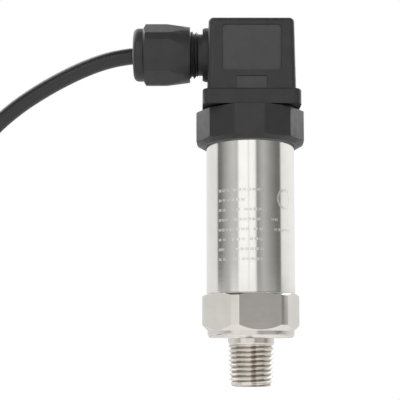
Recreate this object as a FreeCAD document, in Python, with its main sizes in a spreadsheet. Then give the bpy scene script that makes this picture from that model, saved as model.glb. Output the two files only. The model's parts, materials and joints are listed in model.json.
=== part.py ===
import FreeCAD, Part
import math
import os
import Sketcher

# A compact pressure transmitter, millimetres, +Z up, the photographed face towards -Y.
# The origin is on the axis, in the lower face of the collar that seals on the process.

# Driving sizes: name, value, what it is.
SIZES = [
    ("running_gap", 0.3, "clearance between pieces that move apart"),
    ("slip_gap", 0.05, "radial clearance of pieces that slide together"),
    ("hex_flats", 27.0, "across the flats of the steel hexagon"),
    ("hex_corners", 29.8, "diameter to which the hexagon's corners are turned"),
    ("hex_height", 11.2, "height of the hexagon"),
    ("hex_turn", 9.0, "degrees by which the hexagon is turned"),
    ("hex_top_bevel", 0.8, "height of the cone on top of the hexagon"),
    ("hex_bottom_bevel", 1.7, "height of the cone under the hexagon"),
    ("hex_shoulder", 0.1, "top cone inside the hexagon's flats"),
    ("collar_diameter", 26.4, "sealing collar under the hexagon"),
    ("collar_height", 2.2, "height of the collar"),
    ("collar_round", 1.1, "rounding of the collar's lower edge"),
    ("shank_diameter", 14.0, "plain shank above the thread"),
    ("shank_length", 1.4, "length of the plain shank"),
    ("thread_diameter", 13.8, "over the crests of the pipe thread"),
    ("thread_length", 13.0, "length of the thread"),
    ("thread_bevel", 0.8, "bevel at the thread's end"),
    ("inlet_diameter", 3.5, "pressure inlet"),
    ("spigot_height", 5.0, "part of the port inside the tube"),
    ("tube_diameter", 27.0, "outside of the body tube"),
    ("tube_wall", 1.5, "wall of the body tube"),
    ("tube_length", 52.4, "length of the body tube"),
    ("sensor_diameter", 18.0, "sensor capsule"),
    ("sensor_height", 4.0, "height of the sensor capsule"),
    ("dish_diameter", 8.1, "diaphragm in the underside of the capsule"),
    ("dish_depth", 1.2, "depth of the diaphragm"),
    ("dish_bevel", 0.8, "lean of the diaphragm's edge"),
    ("sensor_seal_section", 1.8, "section of the sensor's seal"),
    ("retainer_height", 1.6, "height of the sensor's retaining ring"),
    ("retainer_width", 2.4, "width of the sensor's retaining ring"),
    ("sensor_pin_diameter", 0.5, "header pins of the sensor"),
    ("sensor_pin_pitch", 2.54, "spacing of the header pins"),
    ("sensor_pin_length", 10.0, "length of the header pins"),
    ("carrier_height", 2.4, "height of the board carrier"),
    ("board_width", 20.0, "width of the circuit board"),
    ("board_height", 32.0, "height of the circuit board"),
    ("board_thickness", 1.2, "thickness of the circuit board"),
    ("board_seat", 1.2, "depth of the board in its carrier"),
    ("chip_size", 7.0, "side of the amplifier chip"),
    ("chip_thickness", 1.6, "thickness of the amplifier chip"),
    ("trimmer_size", 4.6, "side of a trimmer"),
    ("trimmer_thickness", 3.2, "thickness of a trimmer"),
    ("capacitor_diameter", 5.0, "capacitor can"),
    ("capacitor_length", 6.0, "length of a capacitor can"),
    ("lead_diameter", 1.1, "insulated lead inside the tube"),
    ("base_flange_height", 1.6, "flange of the connector base under the ring's lip"),
    ("base_spigot_length", 6.0, "connector base inside the tube"),
    ("base_stand", 0.3, "connector base above the ring"),
    ("base_seal_section", 1.4, "section of the base's O-ring"),
    ("base_seal_level", 2.0, "O-ring above the foot of the base"),
    ("blade_width", 6.3, "width of a contact blade"),
    ("blade_thickness", 0.8, "thickness of a contact blade"),
    ("blade_rise", 8.2, "blade above the base"),
    ("blade_tail", 3.0, "blade below the base"),
    ("blade_inset", 3.0, "middle of a blade from the bore of the tube"),
    ("blade_bevel", 0.6, "bevel of a blade's tip"),
    ("bush_diameter", 5.2, "brass bush in the base"),
    ("screw_diameter", 3.0, "fixing screw"),
    ("ring_wall", 2.87, "wall of the twelve-sided ring at its flats"),
    ("ring_turn", -3.0, "degrees by which the ring is turned"),
    ("ring_height", 10.3, "height of the ring"),
    ("ring_lip", 1.5, "lip of the ring over the base's flange"),
    ("ring_mouth_wall", 1.15, "wall of the ring at its lower edge"),
    ("ring_cone", 1.3, "height of the ring's lower cone"),
    ("gasket_thickness", 1.2, "thickness of the plug gasket"),
    ("flange_step", 1.38, "flange beyond the foot of the plug box"),
    ("flange_height", 4.7, "height of the plug's flange"),
    ("flange_round", 2.2, "rounding of the flange's corners"),
    ("flange_edge", 0.7, "rounding of the flange's upper edge"),
    ("box_draft", 0.45, "lean of each side of the plug box from foot to top"),
    ("plug_height", 26.9, "height of the plug"),
    ("box_round", 1.5, "rounding of the box's edges"),
    ("plug_wall", 1.8, "side wall of the plug"),
    ("plug_roof", 1.9, "top wall of the plug"),
    ("panel_width", 17.65, "recessed label panel"),
    ("panel_height", 14.0, "height of the label panel"),
    ("panel_foot", 10.5, "label panel above the plug's lower edge"),
    ("panel_depth", 0.3, "depth of the label panel"),
    ("panel_round", 1.25, "corners of the label panel"),
    ("date_width", 9.2, "small recessed plate"),
    ("date_height", 4.0, "height of the small plate"),
    ("well_diameter", 6.8, "well of the fixing screw's head"),
    ("well_depth", 2.6, "depth of that well"),
    ("boss_diameter", 10.0, "boss round the well"),
    ("boss_height", 3.4, "boss below the roof"),
    ("rib_thickness", 1.0, "ribs inside the plug"),
    ("rib_reach", 1.0, "how far the ribs stand out from the walls"),
    ("rib_height", 1.6, "height of the ribs under the roof"),
    ("rib_place", 5.0, "wall ribs from the middle of their wall"),
    ("rib_foot", 1.6, "wall ribs above the terminal block"),
    ("stop_width", 3.0, "stops above the terminal block"),
    ("stop_height", 1.5, "height of the stops"),
    ("stop_reach", 0.6, "how far the stops stand out from the walls"),
    ("stop_bevel", 0.35, "bevel of the stops"),
    ("stop_place", 8.0, "stops from the middle of their wall"),
    ("gland_height", 18.7, "gland axis above the plug's lower edge"),
    ("outlet_diameter", 12.8, "threaded outlet, at the root of its thread"),
    ("outlet_bore", 10.0, "bore of the outlet"),
    ("outlet_cover", 10.0, "length of the outlet inside the gland nut"),
    ("outlet_ring", 16.6, "ring at the foot of the outlet"),
    ("outlet_ring_length", 1.35, "length of that ring from the foot of the box"),
    ("outlet_rim", 0.55, "length of the ring's slightly smaller step"),
    ("outlet_rim_step", 0.25, "how much smaller that step is all round"),
    ("nut_flats", 17.6, "across the flats of the gland nut"),
    ("nut_corners", 19.0, "across the bevelled corners of the gland nut"),
    ("nut_flat_width", 7.16, "width of one flat of the gland nut"),
    ("nut_gap", 3.9, "bare thread between the ring and the gland nut"),
    ("nut_length", 14.5, "length of the nut's hexagon"),
    ("nut_mouth", 17.1, "diameter of the nut's near end"),
    ("nut_cone", 7.2, "length of the cone on the near end"),
    ("nut_turn", 7.5, "degrees by which the gland nut is turned"),
    ("nose_diameter", 16.3, "rounded nose of the gland nut"),
    ("nose_length", 3.0, "length of the nose"),
    ("nose_groove", 0.8, "bevel between the nut's hexagon and its nose"),
    ("nose_round", 1.6, "rounding of the nose"),
    ("nose_bore", 8.0, "mouth of the nose"),
    ("washer_thickness", 1.0, "thrust washer in the gland"),
    ("washer_bore", 6.2, "bore of the thrust washer"),
    ("seal_length", 9.6, "length of the gland seal inside the outlet"),
    ("seal_lip", 1.2, "lip of the gland seal on the outlet"),
    ("cable_diameter", 5.1, "cable sheath"),
    ("sheath_reach", 1.3, "start of the sheath from the outlet's ring"),
    ("core_diameter", 1.5, "one core of the cable"),
    ("block_wall", 0.8, "wall of the terminal block outside its sockets"),
    ("block_gap", 0.1, "clearance of the terminal block in the plug"),
    ("block_height", 10.0, "height of the terminal block"),
    ("block_floor", 1.5, "floor under the sockets"),
    ("block_neck", 6.4, "guide of the fixing screw"),
    ("socket_wall", 0.65, "wall of a socket"),
    ("socket_gap", 0.15, "clearance of a blade in its socket"),
    ("tab_width", 6.4, "width of a socket's clamping tab"),
    ("tab_reach", 3.7, "clamping tab towards the axis"),
    ("tab_height", 4.0, "height of the clamping tab"),
    ("clamp_screw", 2.0, "terminal screw"),
    ("clamp_head", 3.4, "head of a terminal screw"),
    ("clamp_head_height", 1.3, "height of that head"),
    ("head_diameter", 5.6, "head of the fixing screw"),
    ("head_height", 1.8, "height of that head"),
    ("slot_width", 0.8, "driver slot"),
    ("slot_depth", 0.9, "depth of the driver slot"),
    ("screw_washer_diameter", 6.2, "washer of the fixing screw"),
    ("screw_washer_thickness", 0.5, "thickness of that washer"),
    ("screw_length", 31.0, "fixing screw below its head"),
    ("hank_width", 36.0, "width of the tied cable"),
    ("hank_length", 96.0, "length of the tied cable"),
    ("hank_thickness", 26.0, "thickness of the tied cable"),
    ("hank_shift", 9.0, "middle of the tied cable beyond the end of the free stretch"),
    ("hank_waist", 22.0, "width of the tied cable at its tie"),
    ("tie_width", 6.0, "width of the tie"),
    ("tie_thickness", 1.0, "thickness of the tie"),
    ("end_core_length", 22.0, "stripped cores at the free end"),
    ("end_core_pitch", 2.4, "spacing of the stripped cores"),
    ("solder_gap", 0.02, "clearance between a lead and the board"),
    ("lead_lap", 3.0, "lead along the board below its top"),
    ("lead_spread", 5.0, "spacing of the leads on the board"),
    ("tail_lap", 1.5, "lead along a blade's tail"),
    ("core_straight", 2.6, "straight start of a core out of the sheath"),
    ("core_drop", 3.6, "straight end of a core above its terminal"),
    ("seal_bevel", 0.4, "bevel of the gland seal's lip"),
    ("tab_floor", 0.6, "brass left under a terminal screw"),
    ("cut_over", 0.5, "how far a cut or a root runs past the face that it meets"),
]

# The cable's free stretch: distance from the axis towards -X, drift to the back, and height over
# the gland axis.
CABLE_ROUTE = [
    (41.0, 0.0, -0.9),
    (47.5, 0.3, -2.6),
    (55.5, 1.0, -5.8),
    (65.0, 2.3, -10.6),
    (75.0, 4.3, -16.8),
    (85.0, 6.9, -25.5),
    (91.5, 9.2, -37.0),
]
CABLE_END = (93.0, 10.2, -51.5)

# Shares of a length: places on the circuit board and on the outline of the hank.
CHIP_LEVEL = 0.4
TRIMMER_LEVEL = 0.72
CAPACITOR_LEVEL = 0.45
PART_PLACE = 0.55
HANK_CROWN = 0.55
HANK_SHOULDER = 0.12
HANK_FLANK = 0.28
CORE_STEP = 0.5
CLAMP_SHIFT = 0.52

# The cores inside the plug: places across and along, as shares of the blades' distance.
CORE_ROUTES = [
    [(-1.2, 0.15), (-0.9, 0.34)],
    [(-0.89, -0.51), (0.28, -0.62)],
    [(-1.0, 0.49), (-0.44, 0.69)],
]

doc = FreeCAD.newDocument("PressureTransmitter")
sheet = doc.addObject("Spreadsheet::Sheet", "Sizes")


class Size:
    """A length with the formula that ties it to the sheet."""

    def __init__(self, value, formula):
        self.value = value
        self.formula = formula

    def __add__(self, other):
        other = as_size(other)
        return Size(self.value + other.value, f"({self.formula} + {other.formula})")

    def __sub__(self, other):
        other = as_size(other)
        return Size(self.value - other.value, f"({self.formula} - {other.formula})")

    def __mul__(self, factor):
        return Size(self.value * factor, f"({self.formula} * {factor:.9g})")

    def __truediv__(self, divisor):
        return self * (1 / divisor)

    def __neg__(self):
        return self * -1


def as_size(number):
    if isinstance(number, Size):
        return number
    return Size(number, f"({number:.9g})")


def fill_sheet():
    for row, (name, value, meaning) in enumerate(SIZES, 1):
        sheet.set(f"A{row}", meaning)
        sheet.set(f"B{row}", str(value))
        sheet.setAlias(f"B{row}", name)
    doc.recompute()


fill_sheet()
NOTHING = as_size(0.0)


def size(name):
    return Size(float(sheet.get(name)), f"Sizes.{name}")


def bind(target, field, length):
    target.setExpression(field, as_size(length).formula)


# Levels along the main axis.
hex_foot = size("collar_height")
hex_top = hex_foot + size("hex_height")
shank_end = -size("shank_length")
thread_end = shank_end - size("thread_length")
tube_top = hex_top + size("tube_length")
base_shoulder = tube_top + size("base_flange_height")
ring_top = base_shoulder + size("ring_lip")
ring_foot = ring_top - size("ring_height")
base_top = ring_top + size("base_stand")
gasket_top = base_top + size("gasket_thickness")
block_top = gasket_top + size("block_height")
plug_foot = base_top
flange_top = plug_foot + size("flange_height")
plug_top = plug_foot + size("plug_height")
cavity_top = plug_top - size("plug_roof")
boss_foot = cavity_top - size("boss_height")
gland_level = plug_foot + size("gland_height")
well_floor = plug_top - size("well_depth")
tube_bore = size("tube_diameter") / 2 - size("tube_wall")
spigot_radius = tube_bore - size("slip_gap")
capsule_level = hex_top + size("spigot_height") - size("retainer_height") - size("sensor_height")
pocket_floor = capsule_level - size("sensor_seal_section")
carrier_foot = hex_top + size("spigot_height")
board_foot = carrier_foot + size("carrier_height") - size("board_seat")
board_top = board_foot + size("board_height")
base_foot = tube_top - size("base_spigot_length")
blade_foot = base_foot - size("blade_tail")
blade_radius = tube_bore - size("blade_inset")
blade_top = base_top + size("blade_rise")
socket_foot = gasket_top + size("block_floor")
socket_half_width = size("blade_width") / 2 + size("socket_gap") + size("socket_wall")
socket_half_depth = size("blade_thickness") / 2 + size("socket_gap") + size("socket_wall")
block_half = blade_radius + socket_half_depth + size("block_wall")
cavity_half = block_half + size("block_gap")
box_top_half = cavity_half + size("plug_wall")
box_foot_half = box_top_half + size("box_draft")
flange_half = box_foot_half + size("flange_step")
ring_bore = size("tube_diameter") / 2 + size("slip_gap")
ring_flats = (ring_bore + size("ring_wall")) * 2
tab_foot = block_top - size("tab_height")
lip_radius = tube_bore + size("running_gap")
outlet_ring_end = box_foot_half + size("outlet_ring_length")
nut_start = outlet_ring_end + size("nut_gap")
outlet_end = nut_start + size("outlet_cover")
nut_end = nut_start + size("nut_length")
nose_end = nut_end + size("nose_length")
sheath_start = outlet_ring_end + size("sheath_reach")
washer_near = outlet_end + size("seal_lip")
washer_far = washer_near + size("washer_thickness")


def new_body(label, place=None, turn=None):
    """An empty body; turn is an axis with the name of the angle, in degrees."""
    body = doc.addObject("PartDesign::Body", "Body_" + label)
    body.Label = label
    axis, angle = turn if turn else (FreeCAD.Vector(0, 0, 1), None)
    degrees = size(angle).value if angle else 0.0
    body.Placement = FreeCAD.Placement(FreeCAD.Vector(), FreeCAD.Rotation(axis, degrees))
    if angle:
        body.setExpression("Placement.Rotation.Angle", f"Sizes.{angle} * 1 deg")
    for field, length in zip("xyz", place or ()):
        bind(body, "Placement.Base." + field, length)
    return body


def new_sketch(body, role, offset=None):
    """A sketch on one of the body's own planes, moved along the plane's normal by the offset."""
    plane = next(item for item in body.Origin.OriginFeatures if item.Role == role)
    sketch = body.newObject("Sketcher::SketchObject", "Sketch_" + body.Label)
    sketch.AttachmentSupport = [(plane, "")]
    sketch.MapMode = "FlatFace"
    if offset is not None:
        bind(sketch, "AttachmentOffset.Base.z", offset)
    return sketch


def hold(sketch, kind, targets, length):
    index = sketch.addConstraint(Sketcher.Constraint(kind, *targets, length.value))
    sketch.setExpression(f"Constraints[{index}]", length.formula)


def outline(sketch, corners):
    """A closed outline of straight edges; each corner is held by its distances from the origin."""
    corners = [(as_size(across), as_size(up)) for across, up in corners]
    points = [FreeCAD.Vector(across.value, up.value, 0) for across, up in corners]
    first = sketch.GeometryCount
    for start, end in zip(points, points[1:] + points[:1]):
        sketch.addGeometry(Part.LineSegment(start, end), False)
    count = len(points)
    for step in range(count):
        following = first + (step + 1) % count
        sketch.addConstraint(Sketcher.Constraint("Coincident", first + step, 2, following, 1))
    for step, (across, up) in enumerate(corners):
        hold(sketch, "DistanceX", (-1, 1, first + step, 1), across)
        hold(sketch, "DistanceY", (-1, 1, first + step, 1), up)


def rectangle(sketch, left, low, right, high):
    outline(sketch, [(left, low), (right, low), (right, high), (left, high)])


def square(sketch, half):
    rectangle(sketch, -half, -half, half, half)


def polygon(sketch, sides, flats, start=0.0):
    """A regular polygon; start is the angle of its first corner in degrees."""
    corner = as_size(flats) / (2 * math.cos(math.pi / sides))
    angles = [math.radians(start) + 2 * math.pi * step / sides for step in range(sides)]
    outline(sketch, [(corner * math.cos(angle), corner * math.sin(angle)) for angle in angles])


def bevelled_hexagon(sketch, flats, flat_width):
    """A hexagon with its corners cut off; the first flat faces along the sketch's first axis."""
    reach = as_size(flats) / 2
    half = as_size(flat_width) / 2
    corners = []
    for step in range(6):
        turn = math.pi / 3 * step
        for side in (-half, half):
            corners.append((reach * math.cos(turn) - side * math.sin(turn),
                            reach * math.sin(turn) + side * math.cos(turn)))
    outline(sketch, corners)


def circle(sketch, radius, across=NOTHING, up=NOTHING):
    radius, across, up = as_size(radius), as_size(across), as_size(up)
    centre = FreeCAD.Vector(across.value, up.value, 0)
    index = sketch.addGeometry(Part.Circle(centre, FreeCAD.Vector(0, 0, 1), radius.value), False)
    hold(sketch, "Radius", (index,), radius)
    hold(sketch, "DistanceX", (-1, 1, index, 3), across)
    hold(sketch, "DistanceY", (-1, 1, index, 3), up)


def step(body, kind, sketch, grows, length=None, back=False, taper=None):
    """Adds one feature and makes sure that it added or took away material."""
    before = body.Shape.Volume if body.Tip else 0.0
    feature = body.newObject("PartDesign::" + kind, kind + "_" + body.Label)
    feature.Profile = sketch
    if length is not None:
        bind(feature, "Length", length)
        feature.Reversed = back
        if taper:
            feature.setExpression("TaperAngle", taper)
    else:
        axis = "H_Axis" if back else "V_Axis"
        feature.ReferenceAxis = (sketch, [axis])
        feature.Angle = 360
    doc.recompute()
    change = body.Shape.Volume - before
    if (change > 0) != grows or change == 0:
        raise ValueError(f"{feature.Name} changed the volume by {change:.3f}")
    return feature


def pad(body, sketch, length, back=False, taper=None):
    return step(body, "Pad", sketch, True, length, back, taper)


def pocket(body, sketch, length, back=False):
    return step(body, "Pocket", sketch, False, length, back)


def revolve(body, corners, about_x=False):
    """A turned piece from its half section: radius and height, or length and radius about X."""
    sketch = new_sketch(body, "XZ_Plane")
    outline(sketch, corners)
    return step(body, "Revolution", sketch, True, back=about_x)


def groove(body, corners, about_x=False):
    sketch = new_sketch(body, "XZ_Plane")
    outline(sketch, corners)
    return step(body, "Groove", sketch, False, back=about_x)


def ease(body, kind, amount, chosen):
    """Rounds or bevels the body's edges that pass the test."""
    base = body.Tip
    names = [f"Edge{i}" for i, edge in enumerate(base.Shape.Edges, 1) if chosen(edge)]
    feature = body.newObject("PartDesign::" + kind, kind + "_" + body.Label)
    feature.Base = (base, names)
    bind(feature, "Radius" if kind == "Fillet" else "Size", amount)
    doc.recompute()
    return feature


def near(number, other):
    return abs(number - other.value) < 1e-4


def level_edge(level):
    return lambda edge: all(near(vertex.Z, level) for vertex in edge.Vertexes)


def upright(edge):
    if len(edge.Vertexes) != 2:
        return False
    run = edge.Vertexes[1].Point - edge.Vertexes[0].Point
    return edge.Length < run.Length + 1e-6 and abs(run.z) > 8 * math.hypot(run.x, run.y)


def primitive(kind, label, place, **lengths):
    piece = doc.addObject("Part::" + kind, label)
    for field, length in lengths.items():
        bind(piece, field, length)
    for field, length in zip("xyz", place):
        bind(piece, "Placement.Base." + field, length)
    return piece


def box(label, low, high):
    spans = [as_size(end) - start for start, end in zip(low, high)]
    return primitive("Box", label, low, Length=spans[0], Width=spans[1], Height=spans[2])


def cylinder(label, place, radius, height):
    return primitive("Cylinder", label, place, Radius=radius, Height=height)


def join(kind, label, parts):
    """Fuses or makes a group of several objects."""
    result = doc.addObject("Part::" + kind, label)
    if kind == "Compound":
        result.Links = parts
    else:
        result.Shapes = parts
    return result


def torus(label, level, mean_radius, section):
    ring = primitive("Torus", label, (NOTHING, NOTHING, level), Radius1=mean_radius, Radius2=section)
    ring.Label = label
    return ring


# Steel port: hexagon, collar, shank, thread blank, spigot and sensor pocket, turned from one bar.
def pressure_port():
    body = new_body("pressure_port", turn=(FreeCAD.Vector(0, 0, 1), "hex_turn"))
    sketch = new_sketch(body, "XY_Plane", hex_foot)
    polygon(sketch, 6, size("hex_flats"), 60)
    pad(body, sketch, size("hex_height"))
    corner = size("hex_corners") / 2
    outside = size("hex_flats")
    shoulder = size("hex_flats") / 2 - size("hex_shoulder")
    groove(body, [
        (shoulder, hex_top),
        (corner, hex_top - size("hex_top_bevel")),
        (corner, hex_foot + size("hex_bottom_bevel")),
        (size("collar_diameter") / 2, hex_foot),
        (outside, hex_foot),
        (outside, hex_top),
    ])
    inlet = size("inlet_diameter") / 2
    thread = size("thread_diameter") / 2
    collar = size("collar_diameter") / 2
    seat = size("sensor_diameter") / 2 + size("slip_gap")
    revolve(body, [
        (NOTHING, thread_end),
        (thread - size("thread_bevel"), thread_end),
        (thread, thread_end + size("thread_bevel")),
        (thread, shank_end),
        (size("shank_diameter") / 2, shank_end),
        (size("shank_diameter") / 2, NOTHING),
        (collar, NOTHING),
        (collar, hex_foot),
        (spigot_radius, hex_foot),
        (spigot_radius, carrier_foot),
        (NOTHING, carrier_foot),
    ])
    groove(body, [
        (NOTHING, thread_end),
        (inlet, thread_end),
        (inlet, pocket_floor),
        (seat, pocket_floor),
        (seat, carrier_foot),
        (NOTHING, carrier_foot),
    ])
    rim = size("collar_diameter") / 2
    ease(body, "Fillet", size("collar_round"), lambda edge: (
        level_edge(NOTHING)(edge) and isinstance(edge.Curve, Part.Circle)
        and near(edge.Curve.Radius, rim)))
    return body


def body_tube():
    body = new_body("body_tube")
    outside = size("tube_diameter") / 2
    revolve(body, [(tube_bore, hex_top), (outside, hex_top), (outside, tube_top), (tube_bore, tube_top)])
    return body


# Sensor and electronics, sealed in the tube.
def sensor_pieces():
    section = size("sensor_seal_section") / 2
    seal = torus("sensor_seal", pocket_floor + section, size("sensor_diameter") / 2 - size("retainer_width"),
                 section)
    capsule = new_body("sensor_capsule")
    radius = size("sensor_diameter") / 2
    dish = size("dish_diameter") / 2
    dish_level = capsule_level + size("dish_depth")
    height = size("sensor_height")
    revolve(capsule, [
        (NOTHING, dish_level), (dish, dish_level),
        (dish + size("dish_bevel"), capsule_level), (radius, capsule_level), (radius, capsule_level + height),
        (NOTHING, capsule_level + height),
    ])
    retainer = new_body("sensor_retainer")
    inner = radius - size("retainer_width")
    low = capsule_level + height
    revolve(retainer, [(inner, low), (radius, low), (radius, carrier_foot), (inner, carrier_foot)])
    pins = []
    offset = size("board_thickness") / 2 + size("sensor_pin_diameter") / 2 + size("solder_gap")
    for place in range(4):
        across = size("sensor_pin_pitch") * (place - 1.5)
        pins.append(cylinder(f"sensor_pin_{place + 1}", (across, offset, low),
                             size("sensor_pin_diameter") / 2, size("sensor_pin_length")))
    group = join("Compound", "sensor_pins", pins)
    return [seal, capsule, retainer, group]


def board_carrier():
    body = new_body("board_carrier")
    outside = spigot_radius
    window = size("sensor_diameter") / 2 - size("retainer_width")
    top = carrier_foot + size("carrier_height")
    revolve(body, [(window, carrier_foot), (outside, carrier_foot), (outside, top), (window, top)])
    sketch = new_sketch(body, "XY_Plane", top)
    half = size("board_thickness") / 2
    side = size("board_width") / 2
    rectangle(sketch, -side, -half, side, half)
    pocket(body, sketch, size("board_seat"))
    return body


def board_pieces():
    half = size("board_thickness") / 2
    side = size("board_width") / 2
    board = box("circuit_board", (-side, -half, board_foot), (side, half, board_top))
    chip_half = size("chip_size") / 2
    chip_level = board_foot + size("board_height") * CHIP_LEVEL
    chip = box("amplifier_chip", (-chip_half, -half - size("chip_thickness"), chip_level - chip_half),
               (chip_half, -half, chip_level + chip_half))
    trimmers = []
    cans = []
    for number, hand in enumerate((-1, 1), 1):
        across = side * PART_PLACE * hand
        reach = size("trimmer_size") / 2
        level = board_foot + size("board_height") * TRIMMER_LEVEL
        trimmers.append(box(
            f"trimmer_{number}", (across - reach, -half - size("trimmer_thickness"), level - reach),
            (across + reach, -half, level + reach)))
        radius = size("capacitor_diameter") / 2
        low = board_foot + size("board_height") * CAPACITOR_LEVEL
        cans.append(cylinder(f"capacitor_{number}", (across, half + radius, low), radius,
                             size("capacitor_length")))
    pots = join("Compound", "trimmer_pots", trimmers)
    capacitors = join("Compound", "capacitors", cans)
    return [board, chip, pots, capacitors]


# Cables and leads: straight runs joined by tangent arcs.
def soft_path(points):
    """A wire through the points with the largest arc that each pair of runs allows."""
    edges = []
    radii = []
    start = points[0]
    for before, corner, after in zip(points, points[1:], points[2:]):
        into = (corner - before).normalize()
        out = (after - corner).normalize()
        turn = into.getAngle(out)
        shorter = min((corner - before).Length, (after - corner).Length)
        reach = 0.45 * shorter
        radii.append(reach / math.tan(turn / 2))
        arc_start = corner - into * reach
        arc_end = corner + out * reach
        inward = (out - into).normalize()
        centre = corner + inward * (radii[-1] / math.cos(turn / 2))
        middle = centre - inward * radii[-1]
        edges.append(Part.LineSegment(start, arc_start).toShape())
        edges.append(Part.Arc(arc_start, middle, arc_end).toShape())
        start = arc_end
    edges.append(Part.LineSegment(start, points[-1]).toShape())
    return Part.Wire(edges), radii


def soft_tube(label, points, diameter):
    """A tube along the route, with its volume compared with its section times its length."""
    path, radii = soft_path(points)
    start = path.Edges[0]
    direction = start.tangentAt(start.FirstParameter)
    ring = Part.Wire(Part.makeCircle(diameter / 2, points[0], direction))
    shape = path.makePipeShell([ring], True, True)
    expected = math.pi * diameter ** 2 / 4 * path.Length
    if abs(shape.Volume - expected) > 0.01 * expected:
        raise ValueError(f"{label} holds {shape.Volume:.1f}, not {expected:.1f}")
    piece = doc.addObject("Part::Feature", label)
    piece.Shape = shape
    print(label, f"{path.Length:.1f} mm, radii", " ".join(f"{radius:.1f}" for radius in radii))
    return piece


def lead_wires():
    """Three leads from the top of the board to the blades' tails."""
    leads = []
    diameter = size("lead_diameter").value
    gap = size("solder_gap").value
    face = size("board_thickness").value / 2 + diameter / 2 + gap
    tail = blade_radius.value - size("blade_thickness").value / 2 - diameter / 2 - gap
    low = board_top.value - size("lead_lap").value
    high = blade_foot.value + size("tail_lap").value
    spread = size("lead_spread").value
    targets = [(-tail, 0.0), (tail, 0.0), (0.0, tail)]
    starts = [-spread, spread, 0.0]
    for number, (target, across) in enumerate(zip(targets, starts), 1):
        points = [
            FreeCAD.Vector(across, face, low),
            FreeCAD.Vector(across, face, board_top.value + diameter / 3),
            FreeCAD.Vector(target[0], target[1] if target[1] else face / 2, high - 2 * diameter),
            FreeCAD.Vector(target[0], target[1], high),
        ]
        leads.append(soft_tube(f"lead_wire_{number}", points, diameter))
    return leads


# The connector's blades: 1 and 2 left and right, 3 and earth back and front.
BLADES = [
    ("contact_blade_1", -1, 0),
    ("contact_blade_2", 1, 0),
    ("contact_blade_3", 0, 1),
    ("earth_blade", 0, -1),
]


def blade_spans(across, along, half_width, half_depth):
    """The spans in X and Y of a piece on one blade's place, from its two half sizes."""
    middle_x = blade_radius * across
    middle_y = blade_radius * along
    half_x, half_y = (half_depth, half_width) if across else (half_width, half_depth)
    return middle_x - half_x, middle_y - half_y, middle_x + half_x, middle_y + half_y


def connector_base():
    body = new_body("connector_base")
    flange = size("tube_diameter") / 2
    neck = lip_radius - size("running_gap")
    seal = size("base_seal_section")
    floor = tube_bore - seal
    groove_low = base_foot + size("base_seal_level")
    revolve(body, [
        (NOTHING, base_foot), (spigot_radius, base_foot), (spigot_radius, groove_low),
        (floor, groove_low), (floor, groove_low + seal), (spigot_radius, groove_low + seal),
        (spigot_radius, tube_top), (flange, tube_top), (flange, base_shoulder),
        (neck, base_shoulder), (neck, base_top), (NOTHING, base_top),
    ])
    sketch = new_sketch(body, "XY_Plane", base_top)
    for _, across, along in BLADES:
        rectangle(sketch, *blade_spans(across, along, size("blade_width") / 2, size("blade_thickness") / 2))
    circle(sketch, size("bush_diameter") / 2)
    pocket(body, sketch, base_top - base_foot)
    return body


def base_seal():
    section = size("base_seal_section") / 2
    level = base_foot + size("base_seal_level") + section
    return torus("base_seal", level, tube_bore - section - size("slip_gap"),
                 section - size("slip_gap"))


def contact_blades():
    pieces = []
    for label, across, along in BLADES:
        body = new_body(label)
        sketch = new_sketch(body, "XY_Plane", blade_foot)
        rectangle(sketch, *blade_spans(across, along, size("blade_width") / 2, size("blade_thickness") / 2))
        pad(body, sketch, blade_top - blade_foot)
        long_edge = size("blade_width").value / 2
        ease(body, "Chamfer", size("blade_bevel") / 2, lambda edge: (
            level_edge(blade_top)(edge) and edge.Length > long_edge))
        pieces.append(body)
    return pieces


def thread_bush():
    body = new_body("thread_bush")
    bore = size("screw_diameter") / 2 + size("slip_gap")
    outside = size("bush_diameter") / 2
    revolve(body, [(bore, base_foot), (outside, base_foot), (outside, base_top), (bore, base_top)])
    return body


# Twelve-sided ring: it hooks over the base's flange and grips the tube.
def clamp_ring():
    body = new_body("clamp_ring", turn=(FreeCAD.Vector(0, 0, 1), "ring_turn"))
    sketch = new_sketch(body, "XY_Plane", ring_foot)
    polygon(sketch, 12, ring_flats, 15)
    pad(body, sketch, size("ring_height"))
    outside = ring_flats
    reach = ring_flats * (0.5 / math.cos(math.pi / 12))
    groove(body, [(ring_bore + size("ring_mouth_wall"), ring_foot), (outside, ring_foot),
                  (outside, ring_foot + size("ring_cone")), (reach, ring_foot + size("ring_cone"))])
    groove(body, [
        (NOTHING, ring_foot), (ring_bore, ring_foot), (ring_bore, base_shoulder),
        (lip_radius, base_shoulder), (lip_radius, ring_top), (NOTHING, ring_top),
    ])
    return body


def plug_gasket():
    body = new_body("plug_gasket")
    sketch = new_sketch(body, "XY_Plane", base_top)
    square(sketch, cavity_half - size("slip_gap"))
    pad(body, sketch, size("gasket_thickness"))
    holes = new_sketch(body, "XY_Plane", base_top)
    gap = size("running_gap")
    for _, across, along in BLADES:
        rectangle(holes, *blade_spans(across, along, size("blade_width") / 2 + gap,
                                      size("blade_thickness") / 2 + gap))
    circle(holes, size("screw_diameter") / 2 + gap)
    pocket(body, holes, size("gasket_thickness"), back=True)
    return body


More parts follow.
